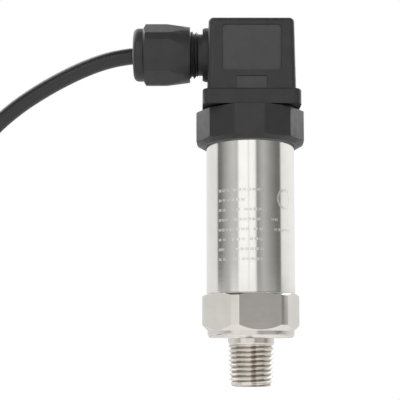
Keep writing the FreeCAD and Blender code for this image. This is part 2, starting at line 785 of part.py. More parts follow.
def plug_ribs(body):
    """Ribs under the roof and on the walls, and the stops above the terminal block."""
    half = size("rib_thickness") / 2
    begin = size("boss_diameter") / 2 - size("cut_over")
    wall = cavity_half + size("cut_over")
    face = cavity_half - size("rib_reach")
    roof = new_sketch(body, "XY_Plane", cavity_top + size("cut_over"))
    rectangle(roof, begin, -half, wall, half)
    rectangle(roof, -half, begin, half, wall)
    rectangle(roof, -half, -wall, half, -begin)
    pad(body, roof, size("rib_height") + size("cut_over"), back=True)
    walls = new_sketch(body, "XY_Plane", cavity_top + size("cut_over"))
    for place in (-size("rib_place"), size("rib_place")):
        rectangle(walls, face, place - half, wall, place + half)
        rectangle(walls, place - half, face, place + half, wall)
        rectangle(walls, place - half, -wall, place + half, -face)
    pad(body, walls, cavity_top - block_top - size("rib_foot") + size("cut_over"), back=True)
    stops = new_sketch(body, "XY_Plane", block_top + size("block_gap"))
    half = size("stop_width") / 2
    face = cavity_half - size("stop_reach")
    for place in (-size("stop_place"), size("stop_place")):
        rectangle(stops, place - half, face, place + half, wall)
        rectangle(stops, place - half, -wall, place + half, -face)
    pad(body, stops, size("stop_height"))
    stop_top = block_top + size("block_gap") + size("stop_height")
    ease(body, "Chamfer", size("stop_bevel"), lambda edge: (
        level_edge(stop_top)(edge) and all(near(abs(vertex.Y), face) for vertex in edge.Vertexes)))


# Moulded plug cover: tapered box on a square flange, shelled, with the cable outlet.
def plug_housing():
    body = new_body("plug_housing")
    foot = new_sketch(body, "XY_Plane", plug_foot)
    slope = size("box_draft")
    square(foot, box_foot_half)
    draft = f"-atan({slope.formula} / {size('plug_height').formula})"
    pad(body, foot, size("plug_height"), taper=draft)
    ease(body, "Fillet", size("box_round"), upright)
    ease(body, "Fillet", size("box_round"), level_edge(plug_top))

    flange = new_sketch(body, "XY_Plane", plug_foot)
    square(flange, flange_half)
    pad(body, flange, size("flange_height"))
    corner = flange_half
    ease(body, "Fillet", size("flange_round"), lambda edge: (
        upright(edge) and near(abs(edge.Vertexes[0].X), corner) and near(abs(edge.Vertexes[0].Y), corner)))
    inner = box_foot_half.value
    ease(body, "Fillet", size("flange_edge"), lambda edge: (
        level_edge(flange_top)(edge) and max(
            max(abs(vertex.X), abs(vertex.Y)) for vertex in edge.Vertexes) > inner + 0.01))

    gland = new_sketch(body, "YZ_Plane", -outlet_end)
    circle(gland, size("outlet_diameter") / 2, NOTHING, gland_level)
    pad(body, gland, outlet_end - cavity_half - size("cut_over"))
    rim = new_sketch(body, "YZ_Plane", -outlet_ring_end)
    circle(rim, size("outlet_ring") / 2 - size("outlet_rim_step"), NOTHING, gland_level)
    pad(body, rim, outlet_ring_end - cavity_half - size("cut_over"))
    collar = new_sketch(body, "YZ_Plane", size("outlet_rim") - outlet_ring_end)
    circle(collar, size("outlet_ring") / 2, NOTHING, gland_level)
    pad(body, collar, outlet_ring_end - size("outlet_rim") - cavity_half - size("cut_over"))

    cavity = new_sketch(body, "XY_Plane", plug_foot)
    square(cavity, cavity_half)
    pocket(body, cavity, cavity_top - plug_foot, back=True)
    boss = new_sketch(body, "XY_Plane", cavity_top + size("cut_over"))
    circle(boss, size("boss_diameter") / 2)
    pad(body, boss, size("boss_height") + size("cut_over"), back=True)
    plug_ribs(body)
    well = new_sketch(body, "XY_Plane", plug_top)
    circle(well, size("well_diameter") / 2)
    pocket(body, well, size("well_depth"))
    bore = new_sketch(body, "XY_Plane", plug_top)
    circle(bore, size("screw_diameter") / 2 + size("running_gap"))
    pocket(body, bore, size("plug_roof") + size("boss_height") + size("cut_over"))
    outlet = new_sketch(body, "YZ_Plane", -outlet_end)
    circle(outlet, size("outlet_bore") / 2, NOTHING, gland_level)
    pocket(body, outlet, outlet_end - cavity_half + size("cut_over"), back=True)

    panel_low = plug_foot + size("panel_foot")
    panel_high = panel_low + size("panel_height")
    lean = slope.value / size("plug_height").value
    face = box_foot_half - (panel_high - plug_foot) * lean - size("panel_depth")
    panel = new_sketch(body, "XZ_Plane", face)
    side = size("panel_width") / 2
    rectangle(panel, -side, panel_low, side, panel_high)
    pocket(body, panel, size("panel_depth") + size("cut_over") * 4, back=True)
    front = -face
    ease(body, "Fillet", size("panel_round"), lambda edge: (
        len(edge.Vertexes) == 2 and abs(edge.Vertexes[0].X - edge.Vertexes[1].X) < 1e-4
        and near(abs(edge.Vertexes[0].X), side) and abs(edge.Vertexes[0].Z - edge.Vertexes[1].Z) < 1e-4
        and max(vertex.Y for vertex in edge.Vertexes) < front.value + 0.01
        and panel_low.value - 0.1 < edge.Vertexes[0].Z < panel_high.value + 0.1))
    date_high = flange_top + size("date_height")
    face = box_foot_half - (date_high - plug_foot) * lean - size("panel_depth")
    date = new_sketch(body, "XZ_Plane", face)
    side = size("date_width") / 2
    rectangle(date, -side, flange_top, side, date_high)
    pocket(body, date, size("panel_depth") + size("cut_over") * 4, back=True)
    return body


def terminal_block():
    body = new_body("terminal_block")
    sketch = new_sketch(body, "XY_Plane", gasket_top)
    square(sketch, block_half)
    pad(body, sketch, size("block_height"))
    ease(body, "Chamfer", size("socket_wall"), upright)
    neck = new_sketch(body, "XY_Plane", block_top)
    circle(neck, size("block_neck") / 2)
    pad(body, neck, boss_foot - block_top)
    slots = new_sketch(body, "XY_Plane", gasket_top)
    gap = size("running_gap")
    for _, across, along in BLADES:
        rectangle(slots, *blade_spans(across, along, size("blade_width") / 2 + gap,
                                      size("blade_thickness") / 2 + gap))
    circle(slots, size("screw_diameter") / 2 + gap)
    pocket(body, slots, boss_foot - gasket_top, back=True)
    for _, across, along in BLADES:
        seat = new_sketch(body, "XY_Plane", block_top)
        rectangle(seat, *blade_spans(across, along, socket_half_width, socket_half_depth))
        pocket(body, seat, block_top - socket_foot)
        shelf = new_sketch(body, "XY_Plane", block_top)
        rectangle(shelf, *tab_spans(across, along))
        pocket(body, shelf, size("tab_height"))
    return body


def tab_spans(across, along):
    """The spans of a clamping tab, from its socket towards the axis."""
    outer = blade_radius - size("blade_thickness") / 2 - size("socket_gap")
    inner = outer - size("tab_reach")
    half = size("tab_width") / 2
    if across:
        edges = sorted([inner * across, outer * across], key=lambda item: item.value)
        return edges[0], -half, edges[1], half
    edges = sorted([inner * along, outer * along], key=lambda item: item.value)
    return -half, edges[0], half, edges[1]


def clamp_place(across, along):
    """The middle of a terminal screw."""
    inward = blade_radius - size("blade_thickness") / 2 - size("socket_gap")
    middle = inward - size("socket_wall") - (size("tab_reach") - size("socket_wall")) / 2
    aside = -size("tab_width") / 5
    if across:
        return middle * across, aside
    return aside, middle * along


def socket_contacts():
    """Folded brass sockets, each with the tab that clamps its core."""
    pieces = []
    for label, across, along in BLADES:
        body = new_body(label.replace("contact_blade", "socket_contact").replace("earth_blade",
                                                                                  "earth_contact"))
        sketch = new_sketch(body, "XY_Plane", socket_foot)
        rectangle(sketch, *blade_spans(across, along, socket_half_width, socket_half_depth))
        pad(body, sketch, block_top - socket_foot)
        tab = new_sketch(body, "XY_Plane", tab_foot)
        rectangle(tab, *tab_spans(across, along))
        pad(body, tab, size("tab_height"))
        mouth = new_sketch(body, "XY_Plane", socket_foot)
        rectangle(mouth, *blade_spans(across, along, size("blade_width") / 2 + size("socket_gap"),
                                      size("blade_thickness") / 2 + size("socket_gap")))
        pocket(body, mouth, block_top - socket_foot, back=True)
        hole = new_sketch(body, "XY_Plane", block_top)
        circle(hole, size("clamp_screw") / 2 + size("slip_gap"), *clamp_place(across, along))
        pocket(body, hole, size("tab_height") - size("tab_floor"))
        pieces.append(body)
    return pieces


def slotted(label, place, radius, head_height, shank, shank_length):
    """A slotted screw whose head sits at the place and whose shank points down."""
    across, along, level = place
    head = cylinder(label + "_head", place, radius, head_height)
    stem = cylinder(label + "_stem", (across, along, level - shank_length), shank, shank_length)
    whole = join("MultiFuse", label + "_blank", [head, stem])
    half = size("slot_width") / 2
    top = level + head_height
    over = size("cut_over")
    slot = box(label + "_slot", (across - radius - over, along - half, top - size("slot_depth")),
               (across + radius + over, along + half, top + over))
    cut = doc.addObject("Part::Cut", label)
    cut.Base = whole
    cut.Tool = slot
    return cut


def terminal_screws():
    screws = []
    for number, (_, across, along) in enumerate(BLADES, 1):
        place = (*clamp_place(across, along), block_top)
        screws.append(slotted(f"terminal_screw_{number}", place, size("clamp_head") / 2,
                              size("clamp_head_height"), size("clamp_screw") / 2,
                              size("tab_height") - size("tab_floor") * 2))
    return join("Compound", "terminal_screws", screws)


def fixing_screw():
    level = well_floor + size("screw_washer_thickness")
    return slotted("fixing_screw", (NOTHING, NOTHING, level), size("head_diameter") / 2,
                   size("head_height"), size("screw_diameter") / 2, size("screw_length"))


def screw_washer():
    body = new_body("screw_washer")
    bore = size("screw_diameter") / 2 + size("slip_gap")
    outside = size("screw_washer_diameter") / 2
    top = well_floor + size("screw_washer_thickness")
    revolve(body, [(bore, well_floor), (outside, well_floor), (outside, top), (bore, top)])
    return body


# Gland: these pieces are made round their own X axis and lifted to the gland's level.
ON_GLAND = (NOTHING, NOTHING, gland_level)


def gland_nut():
    body = new_body("gland_nut", ON_GLAND, (FreeCAD.Vector(1, 0, 0), "nut_turn"))
    sketch = new_sketch(body, "YZ_Plane", -nut_end)
    bevelled_hexagon(sketch, size("nut_flats"), size("nut_flat_width"))
    pad(body, sketch, nut_end - nut_start)
    corner = size("nut_corners") / 2
    outside = size("nut_flats")
    groove(body, [
        (-nut_start, size("nut_mouth") / 2), (-nut_start, outside),
        (-nut_start - size("nut_cone"), outside),
        (-nut_start - size("nut_cone"), corner),
    ], about_x=True)
    shoulder = size("nose_diameter") / 2
    groove(body, [
        (-nut_end, shoulder), (-nut_end, outside),
        (-nut_end + size("nose_groove"), outside), (-nut_end + size("nose_groove"), corner),
    ], about_x=True)
    revolve(body, [
        (-nose_end, NOTHING), (-nose_end, shoulder),
        (-nut_end + size("cut_over"), shoulder), (-nut_end + size("cut_over"), NOTHING),
    ], about_x=True)
    tip = -nose_end
    ease(body, "Fillet", size("nose_round"), lambda edge: all(
        near(vertex.X, tip) for vertex in edge.Vertexes))
    inside = size("outlet_diameter") / 2 + size("running_gap")
    bore = size("nose_bore") / 2
    groove(body, [
        (-nut_start, NOTHING), (-nut_start, inside), (-washer_far, inside),
        (-washer_far, bore), (-nose_end, bore), (-nose_end, NOTHING),
    ], about_x=True)
    return body


def gland_washer():
    body = new_body("gland_washer", ON_GLAND)
    outside = size("outlet_diameter") / 2
    bore = size("washer_bore") / 2
    revolve(body, [(-washer_far, bore), (-washer_far, outside), (-washer_near, outside),
                   (-washer_near, bore)], about_x=True)
    return body


def gland_seal():
    """The rubber that the nut presses round the cable."""
    body = new_body("gland_seal", ON_GLAND)
    bore = size("cable_diameter") / 2
    outside = size("outlet_bore") / 2
    rim = size("outlet_diameter") / 2
    end = outlet_end
    begin = outlet_end - size("seal_length")
    revolve(body, [
        (-begin, bore), (-begin, outside), (-end, outside),
        (-end, rim), (-washer_near, rim - size("seal_bevel")), (-washer_near, bore),
    ], about_x=True)
    return body


def cable_core_pieces():
    """The three cores from the sheath to their terminals."""
    cores = []
    diameter = size("core_diameter").value
    start = -sheath_start.value
    reach = blade_radius.value
    spread = diameter / 2 + size("block_gap").value
    begins = [(0.0, -spread), (-spread, spread), (spread, spread)]
    level = gland_level.value
    for number, (begin, route) in enumerate(zip(begins, CORE_ROUTES), 1):
        _, across, along = BLADES[number - 1]
        middle_x, middle_y = clamp_place(across, along)
        shift = size("tab_width").value * CLAMP_SHIFT
        end_x, end_y = middle_x.value, middle_y.value
        if across:
            end_y += shift
        else:
            end_x += shift
        low = block_top.value
        points = [FreeCAD.Vector(start, begin[0], level + begin[1]),
                  FreeCAD.Vector(start + size("core_straight").value, begin[0], level + begin[1])]
        for turn, (place_x, place_y) in enumerate(route, 1):
            points.append(FreeCAD.Vector(place_x * reach, place_y * reach,
                                         level + begin[1] - diameter * CORE_STEP * turn))
        points.append(FreeCAD.Vector(end_x, end_y, low + size("core_drop").value))
        points.append(FreeCAD.Vector(end_x, end_y, low))
        cores.append(soft_tube(f"cable_core_{number}", points, diameter))
    return cores


def cable_points():
    level = gland_level.value
    points = [FreeCAD.Vector(-sheath_start.value, 0, level),
              FreeCAD.Vector(-washer_far.value - size("nose_length").value, 0, level)]
    for reach, drift, height in CABLE_ROUTE + [CABLE_END]:
        points.append(FreeCAD.Vector(-reach, drift, level + height))
    return points


# Put-away cable: one closed solid with the tied hank's outer shape, its tie, and the free end.
def hank_top():
    return gland_level.value + CABLE_END[2]


def hank_middle():
    return as_size(-CABLE_END[0]) - size("hank_shift")


def cable_hank():
    body = new_body("cable_hank", (hank_middle(), NOTHING, as_size(hank_top())))
    half = size("hank_width") / 2
    long = size("hank_length")
    waist = size("hank_waist") / 2
    middle = -long / 2
    tie = size("tie_width") / 2
    crown = half * HANK_CROWN
    right = [
        (crown, NOTHING), (half, -long * HANK_SHOULDER), (half, -long * HANK_FLANK), (waist, middle + tie),
        (waist, middle - tie), (half, long * HANK_FLANK - long), (half, long * HANK_SHOULDER - long),
        (crown, -long),
    ]
    left = [(-across, up) for across, up in reversed(right)]
    sketch = new_sketch(body, "XZ_Plane", -size("hank_thickness") / 2)
    outline(sketch, right + left)
    pad(body, sketch, size("hank_thickness"))
    return body


def hank_tie():
    centre = hank_middle()
    middle = as_size(hank_top()) - size("hank_length") / 2
    wide = size("hank_waist") / 2
    deep = size("hank_thickness") / 2
    wall = size("tie_thickness")
    tall = size("tie_width") / 2
    outer = box("tie_outside", (centre - wide - wall, -deep - wall, middle - tall),
                (centre + wide + wall, deep + wall, middle + tall))
    over = size("cut_over")
    inner = box("tie_inside", (centre - wide, -deep, middle - tall - over),
                (centre + wide, deep, middle + tall + over))
    ring = doc.addObject("Part::Cut", "hank_tie")
    ring.Base = outer
    ring.Tool = inner
    return ring


def end_cores():
    """The stripped cores that stick out under the hank."""
    cores = []
    low = as_size(hank_top()) - size("hank_length") - size("end_core_length")
    for number in range(3):
        across = hank_middle() + size("end_core_pitch") * (number - 1)
        cores.append(cylinder(f"end_core_{number + 1}", (across, NOTHING, low),
                              size("core_diameter") / 2, size("end_core_length")))
    return cores


def build():
    pieces = [pressure_port(), body_tube()]
    pieces += sensor_pieces()
    pieces.append(board_carrier())
    pieces += board_pieces()
    pieces += lead_wires()
    pieces += [connector_base(), base_seal()]
    pieces += contact_blades()
    pieces += [thread_bush(), clamp_ring(), plug_gasket(), plug_housing(), terminal_block()]
    pieces += socket_contacts()
    pieces += [terminal_screws(), fixing_screw(), screw_washer()]
    pieces += [gland_nut(), gland_washer(), gland_seal()]
    pieces += cable_core_pieces()
    pieces.append(soft_tube("cable", cable_points(), size("cable_diameter").value))
    pieces += [cable_hank(), hank_tie()]
    pieces += end_cores()
    return pieces


def write(pieces):
    """Checks every object and every piece, and then writes one file for each piece."""
    doc.recompute()
    for item in doc.Objects:
        if {"Invalid", "Error"} & set(item.State):
            raise ValueError(f"{item.Name} failed")
    for piece in pieces:
        if piece.Shape.isNull() or not piece.Shape.isValid() or not piece.Shape.Solids:
            raise ValueError(f"{piece.Label} has no sound shape")
    os.makedirs("parts", exist_ok=True)
    for piece in pieces:
        piece.Shape.exportStep(f"parts/{piece.Label}.step")
        print(piece.Label, len(piece.Shape.Solids), f"{piece.Shape.Volume:.2f}")


write(build())
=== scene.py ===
import bmesh
import bpy
import json
import math
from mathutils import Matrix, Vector


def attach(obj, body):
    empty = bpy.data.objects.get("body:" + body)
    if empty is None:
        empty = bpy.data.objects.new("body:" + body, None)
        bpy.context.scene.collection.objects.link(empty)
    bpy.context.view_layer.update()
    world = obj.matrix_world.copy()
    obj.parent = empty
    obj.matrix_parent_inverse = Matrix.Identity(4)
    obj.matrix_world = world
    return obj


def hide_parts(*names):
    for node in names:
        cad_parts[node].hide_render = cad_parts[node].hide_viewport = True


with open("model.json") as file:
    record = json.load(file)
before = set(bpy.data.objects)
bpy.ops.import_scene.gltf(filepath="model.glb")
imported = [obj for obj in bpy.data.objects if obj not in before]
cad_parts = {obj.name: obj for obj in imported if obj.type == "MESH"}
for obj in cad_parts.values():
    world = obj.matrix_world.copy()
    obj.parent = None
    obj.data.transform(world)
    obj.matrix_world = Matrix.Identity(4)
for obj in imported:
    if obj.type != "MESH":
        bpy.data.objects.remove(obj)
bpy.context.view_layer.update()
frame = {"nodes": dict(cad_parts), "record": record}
nodes = frame["nodes"]
SLOT_OF = {part["node"]: part["material_slot"] for part in frame["record"]["subparts"]}

MM = 0.001

# Camera: it stands below the middle of the object and looks slightly up.
IMAGE_SIDE = 400
SENSOR_WIDTH = 36.0
FOCAL_PIXELS = 981.4
CAMERA_PLACE = Vector((-15.49, -299.4, 0.0)) * MM
CAMERA_PITCH = 5.477
CAMERA_RISE = 0.11

# Main sizes in millimetres, as in the part's source.
TUBE_RADIUS = 13.5
TUBE_BORE = 12.0
TUBE_FOOT = 13.4
TUBE_TOP = 65.8
THREAD_TOP = -1.4
THREAD_END = -14.4

# Gland: its axis, and where its parts begin and end, measured from the main axis.
GLAND_HEIGHT = 87.9
NUT_START = 18.6
OUTLET_END = 28.6
OUTLET_RADIUS = 6.4

# Cable: the route's points as in the part's source, from the gland to the tied hank.
CABLE_DIAMETER = 5.1
SHEATH_START = 16.0
CABLE_ROUTE = [
    (33.8, 0.0, 0.0),
    (41.0, 0.0, -0.9),
    (47.5, 0.3, -2.6),
    (55.5, 1.0, -5.8),
    (65.0, 2.3, -10.6),
    (75.0, 4.3, -16.8),
    (85.0, 6.9, -25.5),
    (91.5, 9.2, -37.0),
]

# Tied hank of the put-away cable.
HANK_X = -102.0
HANK_TOP = 36.4
HANK_LENGTH = 96.0
HANK_WIDTH = 36.0
HANK_WAIST = 22.0
HANK_THICKNESS = 26.0
HANK_TURNS = 4
HANK_MIDDLE = HANK_TOP - HANK_LENGTH / 2
HANK_FOOT = HANK_TOP - HANK_LENGTH
FOLD_STEPS = 6
SPLINE_PULL = 0.966  # share of its control points' radius that the line keeps in a fold
WAIST_RUN = 4.0  # half of the straight run through the tie
TAIL_LEAVE = 22.0  # below the tie, where the last run turns in
TAIL_STRAIGHT = 6.0


# Camera and cable.
def link(name, data):
    piece = bpy.data.objects.new(name, data)
    bpy.context.scene.collection.objects.link(piece)
    return piece


def add_camera():
    data = bpy.data.cameras.new("camera")
    data.sensor_width = SENSOR_WIDTH
    data.lens = FOCAL_PIXELS / IMAGE_SIDE * SENSOR_WIDTH
    data.shift_y = CAMERA_RISE
    camera = link("camera", data)
    camera.location = CAMERA_PLACE
    camera.rotation_euler = (math.radians(90 + CAMERA_PITCH), 0, 0)
    bpy.context.scene.camera = camera


def fold_points(radius, layer, level, begin):
    """Half a circle clockwise from the angle where it begins: one round end of a turn."""
    points = []
    for step in range(FOLD_STEPS + 1):
        angle = begin - math.pi * step / FOLD_STEPS
        points.append((radius * math.cos(angle), layer, level + radius * math.sin(angle)))
    return points


def hank_points():
    """Control points of the hank's turns: down the right run, round, and up the left run."""
    fold = HANK_WIDTH / 2 - CABLE_DIAMETER / 2
    waist = HANK_WAIST / 2 - CABLE_DIAMETER / 2
    outer = fold / SPLINE_PULL
    upper = HANK_TOP - CABLE_DIAMETER / 2 - fold
    lower = HANK_FOOT + CABLE_DIAMETER / 2 + fold
    above = HANK_MIDDLE + WAIST_RUN
    below = HANK_MIDDLE - WAIST_RUN
    points = []
    for turn in range(HANK_TURNS + 1):
        layer = CABLE_DIAMETER * (HANK_TURNS / 2 - turn)
        points += [(waist, layer, above), (waist, layer, below)]
        if turn == HANK_TURNS:
            break
        points += fold_points(outer, layer, lower, 0.0)
        # The left run crosses over to the next layer while it passes the waist.
        points += [(-waist, layer - 0.45 * CABLE_DIAMETER, below),
                   (-waist, layer - 0.55 * CABLE_DIAMETER, above)]
        points += fold_points(outer, layer - CABLE_DIAMETER, upper, math.pi)
    # The last run comes back to the middle and leaves straight down.
    points += [(waist * 0.9, layer, HANK_MIDDLE - TAIL_LEAVE),
               (waist * 0.3, layer * 0.5, lower - fold * 0.45),
               (0, 0, HANK_FOOT + TAIL_STRAIGHT), (0, 0, HANK_FOOT)]
    return [(HANK_X + across, depth, height) for across, depth, height in points]


def add_cable():
    """The whole cable as one smooth line, from inside the gland to its free end."""
    points = [(-SHEATH_START, 0, GLAND_HEIGHT)]
    points += [(-reach, depth, GLAND_HEIGHT + height) for reach, depth, height in CABLE_ROUTE]
    points += hank_points()
    curve = bpy.data.curves.new("cable_line", "CURVE")
    curve.dimensions = "3D"
    curve.bevel_depth = CABLE_DIAMETER / 2 * MM
    curve.bevel_resolution = 7
    curve.resolution_u = 5
    curve.use_fill_caps = True
    spline = curve.splines.new("NURBS")
    spline.points.add(len(points) - 1)
    for target, place in zip(spline.points, points):
        target.co = (*(Vector(place) * MM), 1)
    spline.order_u = 3
    spline.use_endpoint_u = True
    curve.materials.append(FINISHES["cable_jacket"])
    cable = link("cable_sheath", curve)
    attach(cable, "plug")
    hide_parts("cable", "cable_hank")
    cable.visible_glossy = False
    return cable


# Materials: places are read from the object's own coordinates, in millimetres.
RAMP_BEGIN = 0.3
RAMP_END = 0.7
# Painted shade in a thread's roots begins below this share of its depth.
ROOT_SHADE_SHARE = 0.72  # the part of a thread's depth above which its metal is fully light


def add_node(tree, kind, *sources, operation=None, settings=None):
    """A shader node, its first inputs linked to the sources and others set by name or number."""
    node = tree.nodes.new("ShaderNode" + kind)
    if operation:
        node.operation = operation
    for key, value in (settings or {}).items():
        node.inputs[key].default_value = value
    for number, source in enumerate(sources):
        tree.links.new(source, node.inputs[number])
    return node


class Finish:
    """A node material: one Principled shader, with colour, roughness and relief from noise."""

    def __init__(self, name, metallic=0.0, roughness=0.5, coat=0.0):
        self.material = bpy.data.materials.new(name)
        self.material.use_nodes = True
        self.tree = self.material.node_tree
        self.shader = self.tree.nodes["Principled BSDF"]
        self.shader.inputs["Metallic"].default_value = metallic
        self.shader.inputs["Roughness"].default_value = roughness
        self.shader.inputs["Coat Weight"].default_value = coat
        self.place = self.node("TexCoord").outputs["Object"]
        self.bump = None

    def node(self, *kind_and_sources, **options):
        return add_node(self.tree, *kind_and_sources, **options)

    def join(self, source, name):
        """Links a source to one of the shader's inputs."""
        self.tree.links.new(source, self.shader.inputs[name])

    def noise(self, per_mm, detail=3.0, stretch=(1, 1, 1)):
        """Noise with so many features to a millimetre along each axis."""
        mapping = self.node("Mapping", self.place, settings={
            "Scale": [per_mm * along / MM for along in stretch]})
        noise = self.node("TexNoise", mapping.outputs["Vector"], settings={
            "Scale": 1.0, "Detail": detail})
        return noise.outputs["Fac"]

    def spread(self, factor, low, high, begin=RAMP_BEGIN, end=RAMP_END):
        """Maps a factor from begin to end onto low to high."""
        remap = self.node("MapRange", factor, settings={
            "From Min": begin, "From Max": end, "To Min": low, "To Max": high})
        return remap.outputs["Result"]

    def flattened(self, height=0):
        """The place with its height times a number, so that 0 leaves the height out."""
        flat = self.node("VectorMath", self.place, operation="MULTIPLY",
                         settings={1: (1, 1, height)})
        return flat.outputs["Vector"]

    def colours(self, factor, first, second):
        ramp = self.node("ValToRGB", factor)
        ends = ((RAMP_BEGIN, first), (RAMP_END, second))
        for element, (position, colour) in zip(ramp.color_ramp.elements, ends):
            element.position = position
            element.color = (*colour, 1)
        self.join(ramp.outputs["Color"], "Base Color")
        return self

    def paint_dark_reflection(self, place, near, far, amount, tint, upright=False):
        """Paints a dark reflection: darkens the colour round a place, or all along the upright line
        through it.
        """
        apart = self.node("VectorMath", self.flattened(0 if upright else 1),
                          operation="DISTANCE", settings={1: [part * MM for part in place]})
        share = self.spread(apart.outputs["Value"], amount, 0.0, near * MM, far * MM)
        plain = self.shader.inputs["Base Color"].links[0].from_socket
        mix = self.node("MixRGB", share, plain, settings={"Color2": (*tint, 1)})
        mix.blend_type = "MULTIPLY"
        self.join(mix.outputs["Color"], "Base Color")
        return self

    def root_shaded(self, crest, lean, level, depth, light, dark):
        """Paints shade on a turned thread, darker towards its root; the crest's radius leans with
        the height.
        """
        radius = self.node("VectorMath", self.flattened(), operation="LENGTH")
        parts = self.node("SeparateXYZ", self.place)
        minus_crest = self.node("Math", parts.outputs["Z"], operation="MULTIPLY_ADD", settings={
            1: -lean, 2: (level * lean - crest) * MM})
        below = self.node("Math", radius.outputs["Value"], minus_crest.outputs[0],
                          operation="ADD")
        factor = self.spread(below.outputs[0], 0.0, 1.0, -depth * MM, -depth * ROOT_SHADE_SHARE * MM)
        return self.colours(factor, dark, light)

    def gloss(self, factor, low, high):
        self.join(self.spread(factor, low, high), "Roughness")
        return self

    def relief(self, factor, depth):
        """Adds a relief so many millimetres deep."""
        bump = self.node("Bump", settings={"Distance": depth * MM})
        self.tree.links.new(factor, bump.inputs["Height"])
        if self.bump:
            self.tree.links.new(self.bump, bump.inputs["Normal"])
        self.bump = bump.outputs["Normal"]
        self.join(self.bump, "Normal")
        return self


def shade(colour, amount):
    return [channel * amount for channel in colour]


def metal(name, colour, roughness, lines=(0.1, 0.1, 5.0), depth=0.002, tone=0.9, painted_reflection=None):
    """Machined metal: fine lines round the axis, cloudy tone, uneven gloss and, where given, a
    painted dark reflection.
    """
    finish = Finish(name, metallic=1.0, roughness=roughness)
    finish.colours(finish.noise(0.22, 4), shade(colour, tone), colour)
    if painted_reflection:
        finish.paint_dark_reflection(*painted_reflection)
    finish.gloss(finish.noise(1.1, 3, lines), roughness * 0.75, roughness * 1.3)
    finish.relief(finish.noise(1.0, 2, lines), depth)
    return finish.material


def moulded(name, colour, roughness, grain=7.0, depth=0.012, tone=0.75):
    """Moulded plastic: fine spark-eroded grain with cloudy gloss."""
    finish = Finish(name, roughness=roughness)
    finish.colours(finish.noise(0.3, 4), shade(colour, tone), colour)
    finish.gloss(finish.noise(0.5, 4), roughness * 0.88, roughness * 1.12)
    finish.relief(finish.noise(grain, 3), depth)
    finish.relief(finish.noise(0.35, 2), depth * 0.8)
    return finish.material


def glossy(name, colour, roughness, coat=0.0):
    """Smooth insulation or jacket: slight flow marks along it."""
    finish = Finish(name, roughness=roughness, coat=coat)
    finish.colours(finish.noise(0.6, 4), shade(colour, 0.8), colour)
    finish.gloss(finish.noise(0.8, 2), roughness * 0.85, roughness * 1.2)
    finish.relief(finish.noise(0.12, 1), 0.006)
    return finish.material


BAR_STEEL = ((0.77, 0.735, 0.69), 0.13, (0.25, 0.25, 4.0), 0.0012, 0.93)
# Painted dark reflection at the front of the collar's foot, where it faces the viewer.
COLLAR_PAINTED_REFLECTION = ((-1.1, -13.2, -0.9), 1.0, 1.9, 0.9, (0.12, 0.1, 0.08))
FINISHES = {name: make(name, *look) for make, name, *look in [
    (metal, "turned_steel", *BAR_STEEL),
    (metal, "port_steel", *BAR_STEEL, COLLAR_PAINTED_REFLECTION),
    (metal, "polished_steel", (0.87, 0.853, 0.81), 0.12, (0.05, 0.05, 6.0), 0.0008, 0.95),
    (moulded, "black_nylon", (0.0125, 0.0125, 0.0132), 0.42),
    (moulded, "seal_rubber", (0.02, 0.02, 0.02), 0.62, 4.0, 0.006),
    (metal, "gold_plate", (0.83, 0.62, 0.24), 0.2),
    (glossy, "green_board", (0.02, 0.17, 0.07), 0.3),
    (moulded, "black_epoxy", (0.02, 0.02, 0.02), 0.5),
    (glossy, "blue_plastic", (0.03, 0.1, 0.4), 0.35),
    (metal, "can_aluminium", (0.72, 0.72, 0.74), 0.25),
    (metal, "tinned_brass", (0.72, 0.71, 0.68), 0.22),
    (metal, "plain_brass", (0.74, 0.53, 0.22), 0.24),
    (metal, "zinc_steel", (0.5, 0.51, 0.54), 0.26, (2.0, 2.0, 2.0)),
    (glossy, "red_insulation", (0.5, 0.03, 0.02), 0.35),
    (glossy, "black_insulation", (0.02, 0.02, 0.02), 0.35),
    (glossy, "blue_insulation", (0.03, 0.09, 0.45), 0.35),
    (glossy, "brown_insulation", (0.16, 0.06, 0.025), 0.35),
    (glossy, "cable_jacket", (0.0065, 0.0065, 0.0072), 0.3, 0.1),
    (moulded, "tie_plastic", (0.02, 0.02, 0.021), 0.35),
    (moulded, "bare_plate", (0.025, 0.025, 0.0255), 0.52, 9.0, 0.006, 0.9),
    (metal, "etched_steel", (0.84, 0.82, 0.77), 0.36, (3.0, 3.0, 3.0), 0.003, 0.9),
]}

# Steel thread: light crests, painted shade in its roots and a painted dark reflection down its
# front.
THREAD_PITCH = 1.41
THREAD_DEPTH = 0.72
CREST_TOP = 6.95
CREST_END = 6.54
THREAD_LEAN = (CREST_TOP - CREST_END) / (THREAD_TOP - THREAD_END)
THREAD_LIGHT = (0.76, 0.73, 0.68)
# Colour of the painted shade in the thread's roots.
THREAD_ROOT_SHADE = (0.34, 0.29, 0.24)
# Painted dark reflection: an upright dark line down the thread's front.
THREAD_PAINTED_REFLECTION = ((0.4, -6.1, 0.0), 0.45, 1.0, 0.5, (0.3, 0.22, 0.17))
FINISHES["thread_steel_painted_shade"] = Finish("thread_steel_painted_shade", metallic=1.0, roughness=0.2).root_shaded(
    CREST_TOP, THREAD_LEAN, THREAD_TOP, THREAD_DEPTH, THREAD_LIGHT, THREAD_ROOT_SHADE,
).paint_dark_reflection(*THREAD_PAINTED_REFLECTION, upright=True).material


def dress_frame():
    """Gives each carried-over node the finish of its own slot."""
    for name, node in nodes.items():
        node.data.materials.clear()
        node.data.materials.append(FINISHES[SLOT_OF[name]])


# Mesh helpers. Creases and other angles are in degrees, merge distances in metres.
NEW_MERGE = 1e-7
FRAME_MERGE = 1e-6
FLAT_ANGLE = 0.5


def mesh_of(name, points, faces):
    """A mesh from points in millimetres."""
    mesh = bpy.data.meshes.new(name)
    mesh.from_pydata([Vector(point) * MM for point in points], [], faces)
    return mesh


